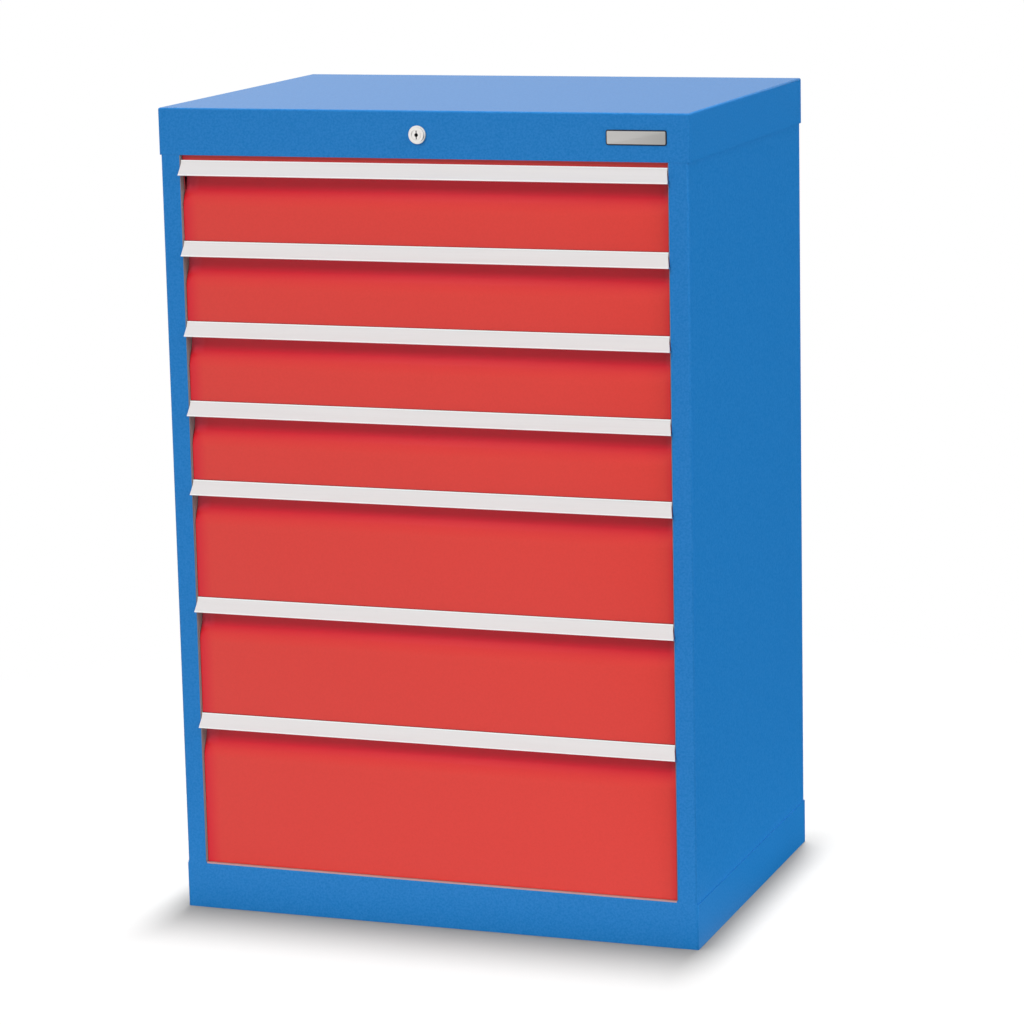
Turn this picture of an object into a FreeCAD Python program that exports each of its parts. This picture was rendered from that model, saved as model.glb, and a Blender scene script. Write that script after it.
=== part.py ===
import FreeCAD, Part
import math
import os

# Drawer cabinet of folded sheet steel, 680 mm wide, 495 mm deep and 1020 mm high. A welded housing
# with a hood on top and a plinth below holds seven drawers of three heights. Every drawer runs on
# two roller slides, and one cylinder lock in the fascia holds all of them. The rollers of a slide
# sit in a cage and roll in two channels at once, so the cage goes half as far as the drawer.
# All sizes are millimetres. X runs to the right, Y to the back and Z up. While the pieces are
# made, Y is counted from the front face of the pillars. They are then moved so that the origin
# lies on the floor, in the middle of the cabinet's outer box.

# Sheet
panel_sheet = 1.5            # hood, side panels, plinth and bottom panel
back_sheet = 1.0             # back panel
front_sheet = 1.2            # drawer fronts
tray_sheet = 1.0             # drawer trays
bend_radius = 0.8            # inside radius of every fold

# Housing
body_width = 678.0           # over the two side panels
cabinet_depth = 493.5        # pillar face to the back of the hood
pillar_width = 26.0          # front fold of a side panel beside the drawers
pillar_return = 14.0         # how far the pillar turns inwards
rear_return = 28.0           # fold at the back edge of a side panel
fascia_height = 58.0         # lip of the hood, all round
fascia_return = 14.0         # fold under the front lip
sill_height = 60.0           # front of the plinth, up to the drawers
sill_rise = 3.0              # front of the plinth above its sides and back
plinth_flange = 25.0         # foot flange on the floor
sill_return = 20.0           # fold at the top of the plinth's front
bottom_flange = 20.0         # down-turned edges of the bottom panel

# Drawers, from the top down
small_drawer = 100.0
medium_drawer = 150.0
large_drawer = 200.0
small_count = 4
medium_count = 2
large_count = 1
drawer_play = 1.0            # over the top drawer's space and under the bottom drawer's space
drawer_travel = 300.0        # how far a drawer pulls out

# Drawer front, with the grip recess folded into it behind the handle
front_gap = 1.5              # round every front
front_recess = 3.0           # front face behind the pillar face
grip_depth = 10.5            # recess behind the front face
grip_height = 31.0           # from the handle's top down to where the slope starts
grip_slope = 19.0            # height of the slope back to the front face
grip_radius = 8.0            # soft folds at both ends of the slope

# Handle, an extruded aluminium grip strip
handle_drop = 5.0            # its top below the top of the drawer's own space
handle_wall = 1.6
handle_face = 18.4           # height of the strip
handle_setback = 2.0         # top of the strip behind the pillar face
handle_reach = 6.0           # bottom of the strip in front of the pillar face
handle_rim = 1.4             # raised rims along both edges of the strip
handle_rim_rise = 0.5
handle_gap = 0.5             # to the pillar at each end
handle_web_drop = 4.5        # web below the top of the strip
handle_foot = 10.0           # flange on the drawer front
handle_lip = 4.5             # turned-in lip at the bottom of the strip

# Tray
tray_lift = 3.0              # floor above the bottom of the drawer's space
tray_drop = 7.0              # rim below the top of the drawer's space
rim_width = 8.0              # rim turned out over the runner
rim_fold = 6.0               # and down
slot_width = 3.0             # slots for dividers
slot_height = 20.0
slot_pitch = 120.0
slot_drop = 13.0             # top of a slot below the rim
slot_margin = 40.0           # at least this far from the tray's ends

# Slides: fixed channel, cage with wide rollers, drawer channel
runner_sheet = 1.5
runner_rise = 32.0           # roller axis above the tray's floor
roller_diameter = 20.0
roller_play = 0.3            # above and below a roller
roller_gap = 0.6             # from a roller's ends to the channels
cage_sheet = 2.0
cage_height = 30.0
cage_gap = 0.4               # between the cage and the edges of the channels
cage_clearance = 1.6         # between the cage and the pillar's edge
cage_end = 12.0              # cage beyond the rollers' rims
fixed_front = 25.0           # front end of the fixed channel behind the pillar face
fixed_rear_gap = 49.5        # from its rear end to the back panel
drawer_channel_depth = 9.0
drawer_channel_inset = 8.0   # from both ends of the tray
roller_margin = 4.0          # from a roller's axis to the end of a channel

# Posts that carry the fixed channels
post_depth = 18.5            # between side panel and fixed channel
post_width = 30.0
post_sheet = 1.5
post_inset = 8.0             # from the ends of the fixed channel
post_slot_height = 14.0
post_slot_width = 4.0
hook_height = 12.0           # tab of a channel in a post's slot
hook_width = 3.0
hook_length = 4.0

# Lock
lock_height = 29.0           # axis above the bottom of the fascia
barrel_diameter = 19.0
rose_diameter = 22.4
rose_thickness = 2.0
nose_length = 2.6            # in front of the rose
barrel_length = 24.0         # behind the fascia's face
plug_diameter = 12.0
plug_clearance = 0.06        # round the plug
plug_sunk = 0.4              # plug behind the nose
plug_tail = 3.0              # plug behind the barrel
key_hole_diameter = 3.2
key_slit_width = 1.1
key_slit_length = 8.6
key_depth = 6.0
nut_flats = 24.0
nut_thickness = 5.0
hole_clearance = 0.2         # round the barrel in the fascia
shaft_side = 8.0
crank_radius = 15.0
crank_thickness = 5.0
crank_hub_diameter = 18.0
crank_pin_diameter = 6.0
pin_clearance = 0.8          # between the pin and the bar's slot
bar_width = 25.0
bar_thickness = 3.0
bar_clearance = 0.4          # round the bar in its guides
bar_side_clearance = 0.6
bar_foot = 20.0              # bar below its lowest hook
guide_sheet = 1.5
guide_height = 24.0
guide_lip = 5.0
bracket_height = 20.0
bracket_foot = 12.0
bracket_reach = 12.0         # bracket in front of the crank
bearing_clearance = 0.3      # round the corners of the square shaft
catch_drop = 20.0            # catch below the tray's rim
catch_reach = 22.0           # behind the tray
catch_lip = 12.0
catch_width = 30.0
catch_sheet = 1.5
hook_gap = 0.8               # between a bar hook and the catch when locked
hook_bite = 10.0             # how far a bar hook rises behind the catch when locked
bar_hook_width = 10.0
bar_hook_length = 18.2       # from the bar to the front of a hook's finger
bar_hook_thickness = 4.0
bar_hook_rise = 14.0         # finger above its arm
bar_hook_arm = 6.0

# Plate on the fascia
plate_width = 75.0
plate_height = 18.0
plate_rim_thickness = 0.8
plate_thickness = 1.2
plate_rim = 1.3
plate_corner = 2.6

# Worked out from the sizes above
half_body = body_width / 2
half_hood = half_body + panel_sheet
plinth_height = sill_height - sill_rise
half_opening = half_body - pillar_width
wall_inside = half_body - panel_sheet
drawer_heights = (
    [small_drawer] * small_count + [medium_drawer] * medium_count + [large_drawer] * large_count
)
opening_bottom = sill_height
opening_top = sill_height + sum(drawer_heights) + 2 * drawer_play
hood_underside = opening_top + fascia_height - panel_sheet
cabinet_height = opening_top + fascia_height
body_back = cabinet_depth - panel_sheet
return_face = body_back - panel_sheet
back_face = return_face - back_sheet
floor_panel_top = sill_height - panel_sheet

bar_back = back_face - guide_sheet - bar_clearance
bar_front = bar_back - bar_thickness
hook_front = bar_front - bar_hook_length
hook_back = hook_front + bar_hook_thickness
catch_back = hook_back + hook_gap + catch_sheet

grip_face = front_recess + grip_depth
tray_front = grip_face + front_sheet
tray_back = catch_back - catch_reach
tray_depth = tray_back - tray_front
half_front = half_opening - front_gap
half_handle = half_opening - handle_gap

cage_outside = half_opening - cage_clearance
cage_inside = cage_outside - cage_sheet
fixed_outside = wall_inside - post_depth
fixed_web = fixed_outside - runner_sheet
drawer_edge = cage_inside - cage_gap
half_tray = drawer_edge - drawer_channel_depth
drawer_web = half_tray + runner_sheet
channel_half = roller_diameter / 2 + roller_play + runner_sheet
fixed_back = back_face - fixed_rear_gap
drawer_channel_front = tray_front + drawer_channel_inset
drawer_channel_back = tray_back - drawer_channel_inset
roller_places = (
    max(fixed_front, drawer_channel_front) + roller_margin + drawer_travel / 2,
    min(fixed_back, drawer_channel_back) - roller_margin - drawer_travel / 2,
)
post_fronts = (fixed_front + post_inset, fixed_back - post_inset - post_width)

lock_axis = opening_top + lock_height
barrel_front = -rose_thickness - nose_length
plug_front = barrel_front + plug_sunk
plug_back = barrel_length + plug_tail
crank_back = bar_front - bar_side_clearance - panel_sheet - crank_thickness
crank_front = crank_back - crank_thickness
crank_offset = crank_radius * math.sin(math.radians(45))
bar_stroke = 2 * crank_offset

front_reach = max(handle_reach, -barrel_front)
origin_shift = FreeCAD.Vector(0, (front_reach - cabinet_depth) / 2, 0)


def vector(x, y, z):
    return FreeCAD.Vector(x, y, z)


def block(x_range, y_range, z_range):
    """A box between two corners."""
    size = [high - low for low, high in (x_range, y_range, z_range)]
    return Part.makeBox(*size, vector(x_range[0], y_range[0], z_range[0]))


def round_bar(diameter, y_front, y_back, x, z):
    """A cylinder along Y."""
    return Part.makeCylinder(diameter / 2, y_back - y_front, vector(x, y_front, z), vector(0, 1, 0))


def joined(first, *others):
    """One solid from pieces that are welded or formed together."""
    return first.fuse(list(others)).removeSplitter()


def mirrored(shape):
    """The same piece for the other side of the cabinet."""
    return shape.mirror(vector(0, 0, 0), vector(1, 0, 0))


# A section lies in a plane: across X it holds (y, z), across Y (x, z) and across Z (x, y).
PLANES = {
    "X": (lambda u, v, w: vector(w, u, v), vector(1, 0, 0)),
    "Y": (lambda u, v, w: vector(u, w, v), vector(0, 1, 0)),
    "Z": (lambda u, v, w: vector(u, v, w), vector(0, 0, 1)),
}


def unit(start, end):
    length = math.hypot(end[0] - start[0], end[1] - start[1])
    return (end[0] - start[0]) / length, (end[1] - start[1]) / length


def rounded_run(points, radii, to_space):
    """Straight edges through the points. A corner with a radius gets a tangent arc."""
    edges = []
    here = points[0]
    for before, corner, after, radius in zip(points, points[1:], points[2:], radii):
        if radius == 0:
            edges.append(Part.LineSegment(to_space(*here), to_space(*corner)).toShape())
            here = corner
            continue
        a = unit(before, corner)
        b = unit(corner, after)
        side = math.copysign(1, a[0] * b[1] - a[1] * b[0])
        turn = math.acos(max(-1.0, min(1.0, a[0] * b[0] + a[1] * b[1])))
        reach = radius * math.tan(turn / 2)
        start = (corner[0] - a[0] * reach, corner[1] - a[1] * reach)
        end = (corner[0] + b[0] * reach, corner[1] + b[1] * reach)
        centre = (start[0] - side * a[1] * radius, start[1] + side * a[0] * radius)
        out = unit(centre, corner)
        middle = (centre[0] + out[0] * radius, centre[1] + out[1] * radius)
        edges.append(Part.LineSegment(to_space(*here), to_space(*start)).toShape())
        edges.append(Part.Arc(to_space(*start), to_space(*middle), to_space(*end)).toShape())
        here = end
    edges.append(Part.LineSegment(to_space(*here), to_space(*points[-1])).toShape())
    return edges


def folded(points, thickness, plane, low, high, bends=None):
    """A folded sheet. The points follow one face of the sheet, which lies on their left.

    An inside radius of 0 leaves a fold sharp on both faces.
    """
    place, direction = PLANES[plane]
    steps = [unit(p, q) for p, q in zip(points, points[1:])]
    normals = [(-dy, dx) for dx, dy in steps]
    if bends is None:
        bends = [bend_radius] * (len(points) - 2)
    other = [(points[0][0] + normals[0][0] * thickness, points[0][1] + normals[0][1] * thickness)]
    near_radii = []
    far_radii = []
    for i, bend in enumerate(bends):
        a, b = normals[i], normals[i + 1]
        scale = thickness / (1 + a[0] * b[0] + a[1] * b[1])
        corner = points[i + 1]
        other.append((corner[0] + (a[0] + b[0]) * scale, corner[1] + (a[1] + b[1]) * scale))
        turns_left = steps[i][0] * steps[i + 1][1] - steps[i][1] * steps[i + 1][0] > 0
        outside = bend + thickness if bend else 0
        near_radii.append(outside if turns_left else bend)
        far_radii.append(bend if turns_left else outside)
    last = normals[-1]
    other.append((points[-1][0] + last[0] * thickness, points[-1][1] + last[1] * thickness))

    def to_space(u, v):
        return place(u, v, low)

    outline = rounded_run(points, near_radii, to_space)
    outline.append(Part.LineSegment(to_space(*points[-1]), to_space(*other[-1])).toShape())
    outline += rounded_run(other[::-1], far_radii[::-1], to_space)
    outline.append(Part.LineSegment(to_space(*other[0]), to_space(*points[0])).toShape())
    face = Part.Face(Part.Wire(outline))
    return face.extrude(direction * (high - low))


def rounded_box(x_range, y_range, z_range, radius, picks):
    """A box with the picked edges rounded; picks(edge) says which."""
    body = block(x_range, y_range, z_range)
    return body.makeFillet(radius, [edge for edge in body.Edges if picks(edge)])


def is_upright(edge):
    start, end = (vertex.Point for vertex in edge.Vertexes)
    return abs(start.z - end.z) > 1e-6


def lies_at(edge, z):
    return all(abs(vertex.Z - z) < 1e-6 for vertex in edge.Vertexes)


def runs_along_y(edge):
    return abs(edge.Vertexes[0].Y - edge.Vertexes[1].Y) > 1e-6


# Housing
def hood():
    """The top: a pan turned upside down, whose front lip is the fascia with the lock's hole."""
    outside = rounded_box(
        (-half_hood, half_hood), (0, cabinet_depth), (opening_top, cabinet_height),
        bend_radius + panel_sheet, lambda edge: lies_at(edge, cabinet_height),
    )
    inside = block(
        (-half_body, half_body), (panel_sheet, body_back), (opening_top - 1, hood_underside),
    )
    under_fold = block(
        (-half_opening, half_opening), (panel_sheet / 2, fascia_return),
        (opening_top, opening_top + panel_sheet),
    )
    lock_hole = round_bar(
        barrel_diameter + 2 * hole_clearance, -1, panel_sheet + 1, 0, lock_axis,
    )
    return joined(outside.cut(inside), under_fold).cut(lock_hole)


def side_panel():
    """The right side: pillar, wall and back edge folded from one sheet."""
    skin = [
        (half_opening, pillar_return),
        (half_opening, 0),
        (half_body, 0),
        (half_body, body_back),
        (half_body - rear_return, body_back),
    ]
    between = folded(skin, panel_sheet, "Z", opening_bottom, opening_top)
    wall_skin = [(half_body, panel_sheet)] + skin[3:]
    behind_hood = folded(wall_skin, panel_sheet, "Z", opening_top, hood_underside)
    behind_plinth = folded(wall_skin, panel_sheet, "Z", panel_sheet, opening_bottom)
    return joined(between, behind_hood, behind_plinth)


def plinth():
    """The base: a ring with a foot flange, whose front is the sill under the drawers."""
    ring = rounded_box(
        (-half_hood, half_hood), (0, cabinet_depth), (0, plinth_height),
        bend_radius + panel_sheet, is_upright,
    )
    inside = block(
        (-half_body, half_body), (panel_sheet, body_back), (panel_sheet, plinth_height + 1),
    )
    floor_opening = block(
        (plinth_flange - half_hood, half_hood - plinth_flange),
        (plinth_flange, cabinet_depth - plinth_flange), (-1, panel_sheet + 1),
    )
    pillar_seat = block((-half_body, half_body), (0, panel_sheet), (plinth_height, sill_height))
    sill = folded(
        [(0, plinth_height - 2 * panel_sheet), (0, sill_height), (sill_return, sill_height)][::-1],
        panel_sheet, "X", -half_opening, half_opening,
    )
    return joined(ring.cut(inside).cut(floor_opening), pillar_seat, sill)


def bottom_panel():
    """Closes the housing under the lowest drawer."""
    low = floor_panel_top - panel_sheet - bottom_flange
    skin = [
        (wall_inside, low),
        (wall_inside, floor_panel_top),
        (-wall_inside, floor_panel_top),
        (-wall_inside, low),
    ]
    return folded(skin, panel_sheet, "Y", panel_sheet + bend_radius, back_face, [0, 0])


def back_panel():
    """Lies against the folded back edges of the side panels, clear of the round of their folds."""
    half_width = wall_inside - bend_radius
    return block(
        (-half_width, half_width), (back_face, return_face),
        (floor_panel_top - bottom_flange, hood_underside),
    )


def runner_levels():
    """Bottom, top and roller height of every drawer's space, from the top drawer down."""
    levels = []
    top = opening_top - drawer_play
    for height in drawer_heights:
        bottom = top - height
        levels.append((bottom, top, bottom + tray_lift + runner_rise))
        top = bottom
    return levels


def post(front):
    """An upright of folded sheet, slotted for the hooks of the fixed channels."""
    skin = [
        (wall_inside, front + post_width),
        (fixed_outside, front + post_width),
        (fixed_outside, front),
        (wall_inside, front),
    ]
    upright = folded(skin, post_sheet, "Z", floor_panel_top, opening_top, [0, 0])
    middle = front + post_width / 2
    slots = []
    for bottom, top, roller_z in runner_levels():
        slots.append(block(
            (fixed_outside - 1, fixed_outside + post_sheet + 1),
            (middle - post_slot_width / 2, middle + post_slot_width / 2),
            (roller_z - post_slot_height / 2, roller_z + post_slot_height / 2),
        ))
    return upright.cut(slots)


def channel(web, open_edge, front, back, z):
    """A channel of a slide. Its web stands at the first place and its flanges end at the second."""
    skin = [
        (open_edge, z + channel_half), (web, z + channel_half),
        (web, z - channel_half), (open_edge, z - channel_half),
    ]
    if web > open_edge:
        skin.reverse()
    return folded(skin, runner_sheet, "Y", front, back, [0, 0])


def fixed_channel(z):
    """The cabinet's own channel, with the hooks that hang it in the posts."""
    body = channel(fixed_outside, cage_outside + cage_gap, fixed_front, fixed_back, z)
    hooks = []
    for front in post_fronts:
        middle = front + post_width / 2
        hooks.append(block(
            (fixed_outside - runner_sheet / 2, fixed_outside + hook_length),
            (middle - hook_width / 2, middle + hook_width / 2),
            (z - hook_height / 2, z + hook_height / 2),
        ))
    return joined(body, *hooks)


# Drawers
def drawer_front(bottom, top, handle_top):
    """The red front: flat face, slope and grip recess in one sheet, with closed ends."""
    slope_top = handle_top - grip_height
    skin = [
        (tray_front, bottom), (front_recess, bottom), (front_recess, slope_top - grip_slope),
        (grip_face, slope_top), (grip_face, top), (tray_front, top),
    ]
    outside = front_sheet + bend_radius
    radii = [outside, grip_radius + front_sheet, grip_radius, 0]

    def end_of_cheek(y, z):
        return vector(half_front - front_sheet, y, z)

    outline = rounded_run(skin, radii, end_of_cheek)
    outline.append(Part.LineSegment(end_of_cheek(*skin[-1]), end_of_cheek(*skin[0])).toShape())
    cheek = Part.Face(Part.Wire(outline)).extrude(vector(front_sheet, 0, 0))
    sheet = folded(
        skin[-2::-1], front_sheet, "X", -half_front, half_front,
        [grip_radius, grip_radius, bend_radius],
    )
    return joined(sheet, cheek, mirrored(cheek))


def handle(top):
    """The grip strip, extruded: rimmed strip with a turned-in lip, and a web with its foot.

    The strip leans, with its lower edge in front. Its section is counted along it from the top
    edge, and across it from its front.
    """
    length = math.hypot(handle_setback + handle_reach, handle_face)
    lean = (handle_setback + handle_reach) / length
    upright = handle_face / length
    back = handle_rim_rise + handle_wall
    lip_end = length - lean * handle_lip
    lip_back = upright * handle_lip
    section = [
        (0, 0), (handle_rim, 0), (handle_rim, handle_rim_rise),
        (length - handle_rim, handle_rim_rise), (length - handle_rim, 0), (length, 0),
        (lip_end, lip_back), (lip_end - handle_wall, lip_back),
        (length - handle_wall - lean * back, back), (0, back),
    ]
    corners = [
        vector(
            -half_handle,
            handle_setback - lean * along + upright * across,
            top - upright * along - lean * across,
        )
        for along, across in section
    ]
    outline = Part.makePolygon(corners + corners[:1])
    strip = Part.Face(outline).extrude(vector(2 * half_handle, 0, 0))
    web_top = top - handle_web_drop
    wall_middle = handle_setback - lean / upright * handle_web_drop + back - handle_wall / 2
    web = folded(
        [(grip_face, web_top - handle_foot), (grip_face, web_top), (wall_middle, web_top)],
        handle_wall, "X", -half_handle, half_handle, [0],
    )
    return joined(strip, web)


def tray(bottom, top):
    """Sheet tray with turned-out rims, divider slots and the catch for the lock at its back."""
    floor = bottom + tray_lift
    rim = top - tray_drop
    skin = [
        (half_tray + rim_width, rim - rim_fold), (half_tray + rim_width, rim), (half_tray, rim),
        (half_tray, floor), (-half_tray, floor), (-half_tray, rim),
        (-half_tray - rim_width, rim), (-half_tray - rim_width, rim - rim_fold),
    ]
    shell = folded(skin[::-1], tray_sheet, "Y", tray_front, tray_back, [0] * 6)
    inside = half_tray - tray_sheet / 2
    walls = [
        block((-inside, inside), (y, y + tray_sheet), (floor + tray_sheet / 2, rim))
        for y in (tray_front, tray_back - tray_sheet)
    ]
    catch_top = rim - catch_drop
    catch_skin = [
        (catch_back, catch_top - catch_lip), (catch_back, catch_top),
        (tray_back - tray_sheet / 2, catch_top),
    ]
    catch = folded(catch_skin, catch_sheet, "X", -catch_width / 2, catch_width / 2)
    slots = []
    steps = int((tray_depth - 2 * slot_margin) // slot_pitch)
    first = tray_front + (tray_depth - steps * slot_pitch) / 2
    for step in range(steps + 1):
        y = first + step * slot_pitch
        for side in (-1, 1):
            x_range = sorted((side * (half_tray + 1), side * (half_tray - tray_sheet - 1)))
            slots.append(block(
                x_range, (y, y + slot_width), (rim - slot_drop - slot_height, rim - slot_drop),
            ))
    return joined(shell, *walls, catch).cut(slots)


def drawer_channels(z):
    """The drawer's channels, on both walls of the tray."""
    right = channel(half_tray, drawer_edge, drawer_channel_front, drawer_channel_back, z)
    return [right, mirrored(right)]


def roller_cages(z):
    """Flat strips with a window for every roller."""
    half = roller_diameter / 2
    strip = block(
        (cage_inside, cage_outside),
        (min(roller_places) - half - cage_end, max(roller_places) + half + cage_end),
        (z - cage_height / 2, z + cage_height / 2),
    )
    windows = [
        block((cage_inside - 1, cage_outside + 1), (y - half, y + half), (z - half, z + half))
        for y in roller_places
    ]
    right = strip.cut(windows)
    return [right, mirrored(right)]


def rollers(z):
    """Wide rollers, whose inner half carries the drawer and whose outer half rests in the cabinet."""
    width = fixed_web - drawer_web - 2 * roller_gap
    wheels = [
        Part.makeCylinder(
            roller_diameter / 2, width, vector(drawer_web + roller_gap, y, z), vector(1, 0, 0),
        )
        for y in roller_places
    ]
    return wheels + [mirrored(wheel) for wheel in wheels]


# Lock
def lock_barrel():
    """Rose, nose and threaded barrel turned from one bar, bored for the plug."""
    rose = round_bar(rose_diameter, -rose_thickness, 0, 0, lock_axis)
    barrel = round_bar(barrel_diameter, barrel_front, barrel_length, 0, lock_axis)
    bore = round_bar(
        plug_diameter + 2 * plug_clearance, barrel_front - 1, barrel_length + 1, 0, lock_axis,
    )
    return joined(rose, barrel).cut(bore)


def lock_nut():
    corner = nut_flats / 2 / math.cos(math.radians(30))
    points = []
    for i in range(7):
        angle = math.radians(60 * i)
        points.append(vector(
            corner * math.cos(angle), panel_sheet, lock_axis + corner * math.sin(angle),
        ))
    body = Part.Face(Part.makePolygon(points)).extrude(vector(0, nut_thickness, 0))
    bore = round_bar(barrel_diameter, 0, panel_sheet + nut_thickness + 1, 0, lock_axis)
    return body.cut(bore)


def lock_plug():
    """The turning plug, with a key hole that stands upright when the drawers are free."""
    body = round_bar(plug_diameter, plug_front, plug_back, 0, lock_axis)
    key_back = plug_front + key_depth
    hole = round_bar(key_hole_diameter, plug_front - 1, key_back, 0, lock_axis)
    slit = block(
        (-key_slit_width / 2, key_slit_width / 2), (plug_front - 1, key_back),
        (lock_axis - key_slit_length / 2, lock_axis + key_slit_length / 2),
    )
    return body.cut(joined(hole, slit))


def lock_shaft():
    """Square rod from the plug to the crank at the back."""
    half = shaft_side / 2
    return block((-half, half), (plug_back, crank_front), (lock_axis - half, lock_axis + half))


def lock_crank():
    """Arm and pin that lift the locking bar."""
    hub = round_bar(crank_hub_diameter, crank_front, crank_back, 0, lock_axis)
    arm = block(
        (0, crank_radius + crank_pin_diameter), (crank_front, crank_back),
        (lock_axis - crank_pin_diameter, lock_axis + crank_pin_diameter),
    )
    arm.rotate(vector(0, 0, lock_axis), vector(0, 1, 0), 135)
    pin = round_bar(
        crank_pin_diameter, crank_front, bar_back + guide_sheet / 2,
        -crank_offset, lock_axis - crank_offset,
    )
    return joined(hub, arm, pin)


def lock_bar():
    """Upright bar at the back, with a hook for every drawer and a slot for the crank's pin."""
    half = bar_width / 2
    slot_z = lock_axis - crank_offset
    slot_half = crank_pin_diameter / 2 + pin_clearance
    head_x = -crank_radius - slot_half - half / 2
    lowest = runner_levels()[-1][1]
    foot = lowest - tray_drop - catch_drop - catch_lip - bar_hook_rise - bar_hook_arm - bar_foot
    flat = block((-half, half), (bar_front, bar_back), (foot, slot_z + 2 * slot_half))
    head = block(
        (head_x, half), (bar_front, bar_back), (slot_z - 2 * slot_half, slot_z + 2 * slot_half),
    )
    bar = joined(flat, head)
    slot = block(
        (-crank_radius - slot_half, slot_half - crank_offset), (bar_front - 1, bar_back + 1),
        (slot_z - slot_half, slot_z + slot_half),
    )
    bar = bar.cut(slot)
    for bottom, top, roller_z in runner_levels():
        lip_bottom = top - tray_drop - catch_drop - catch_lip
        finger_top = lip_bottom + hook_bite - bar_stroke
        arm_top = finger_top - bar_hook_rise
        x_range = (-bar_hook_width / 2, bar_hook_width / 2)
        arm = block(x_range, (hook_front, bar_front), (arm_top - bar_hook_arm, arm_top))
        finger = block(x_range, (hook_front, hook_back), (arm_top, finger_top))
        bar = joined(bar, arm, finger)
    return bar


def lock_guides():
    """Three guides for the bar and the bracket that carries the back of the shaft."""
    half = bar_width / 2 + bar_side_clearance
    lip_face = bar_front - bar_clearance - guide_sheet
    inner = half - guide_lip
    skin = [
        (inner, lip_face), (half + guide_sheet, lip_face), (half + guide_sheet, back_face),
        (-half - guide_sheet, back_face), (-half - guide_sheet, lip_face), (-inner, lip_face),
    ]
    span = opening_top - opening_bottom
    guides = []
    for share in (0.1, 0.5, 0.9):
        low = opening_bottom + share * span - guide_height / 2
        guides.append(folded(skin, guide_sheet, "Z", low, low + guide_height, [0] * 4))
    slot_half = crank_pin_diameter / 2 + pin_clearance
    half_span = crank_radius + slot_half + bar_width / 4 + 3 * panel_sheet + bar_side_clearance
    bracket_face = crank_front - bracket_reach
    bracket_skin = [
        (-half_span - bracket_foot, back_face), (-half_span, back_face),
        (-half_span, bracket_face), (half_span, bracket_face),
        (half_span, back_face), (half_span + bracket_foot, back_face),
    ]
    bracket = folded(
        bracket_skin[::-1], guide_sheet, "Z",
        lock_axis - bracket_height / 2, lock_axis + bracket_height / 2, [0] * 4,
    )
    corner_diameter = shaft_side * math.sqrt(2) + 2 * bearing_clearance
    bearing = round_bar(
        corner_diameter, bracket_face - guide_sheet - 1, bracket_face + 1, 0, lock_axis,
    )
    return guides + [bracket.cut(bearing)]


def name_plate():
    """Bare plate at the right of the fascia, in line with the edge of the drawers."""
    low = lock_axis - plate_height / 2
    rim = rounded_box(
        (half_opening - plate_width, half_opening), (-plate_rim_thickness, 0),
        (low, low + plate_height), plate_corner, runs_along_y,
    )
    face = block(
        (half_opening - plate_width + plate_rim, half_opening - plate_rim),
        (-plate_thickness, -plate_rim_thickness / 2),
        (low + plate_rim, low + plate_height - plate_rim),
    )
    return joined(rim, face)


def save(name, pieces):
    """Writes one sub-part, moved to the cabinet's own origin."""
    solids = []
    for piece in pieces:
        moved = piece.copy()
        moved.translate(origin_shift)
        solids += moved.Solids
    shape = solids[0] if len(solids) == 1 else Part.makeCompound(solids)
    if not shape.isValid():
        raise ValueError(name + " is not a valid solid")
    shape.exportStep("parts/" + name + ".step")


def build():
    os.makedirs("parts", exist_ok=True)
    right_side = side_panel()
    right_posts = [post(front) for front in post_fronts]
    save("top_cap", [hood()])
    save("right_side_panel", [right_side])
    save("left_side_panel", [mirrored(right_side)])
    save("base_plinth", [plinth()])
    save("bottom_panel", [bottom_panel()])
    save("back_panel", [back_panel()])
    save("right_runner_posts", right_posts)
    save("left_runner_posts", [mirrored(piece) for piece in right_posts])
    save("name_plate", [name_plate()])
    save("lock_barrel", [lock_barrel()])
    save("lock_nut", [lock_nut()])
    save("lock_plug", [lock_plug()])
    save("lock_shaft", [lock_shaft()])
    save("lock_crank", [lock_crank()])
    save("lock_bar", [lock_bar()])
    save("lock_bar_guides", lock_guides())

    fixed = []
    last = len(drawer_heights)
    for number, (bottom, top, roller_z) in enumerate(runner_levels(), start=1):
        right_channel = fixed_channel(roller_z)
        fixed += [right_channel, mirrored(right_channel)]
        handle_top = top - handle_drop
        front_top = opening_top - front_gap if number == 1 else handle_top
        front_bottom = bottom - handle_drop + front_gap
        if number == last:
            front_bottom = opening_bottom + front_gap
        name = "drawer_%d_" % number
        save(name + "front", [drawer_front(front_bottom, front_top, handle_top)])
        save(name + "handle", [handle(handle_top)])
        save(name + "tray", [tray(bottom, top)])
        save(name + "runners", drawer_channels(roller_z))
        save("roller_cages_%d" % number, roller_cages(roller_z))
        save("rollers_%d" % number, rollers(roller_z))
    save("cabinet_runners", fixed)


build()
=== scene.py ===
import math

import bmesh
import bpy
from mathutils import Matrix, Vector


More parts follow.
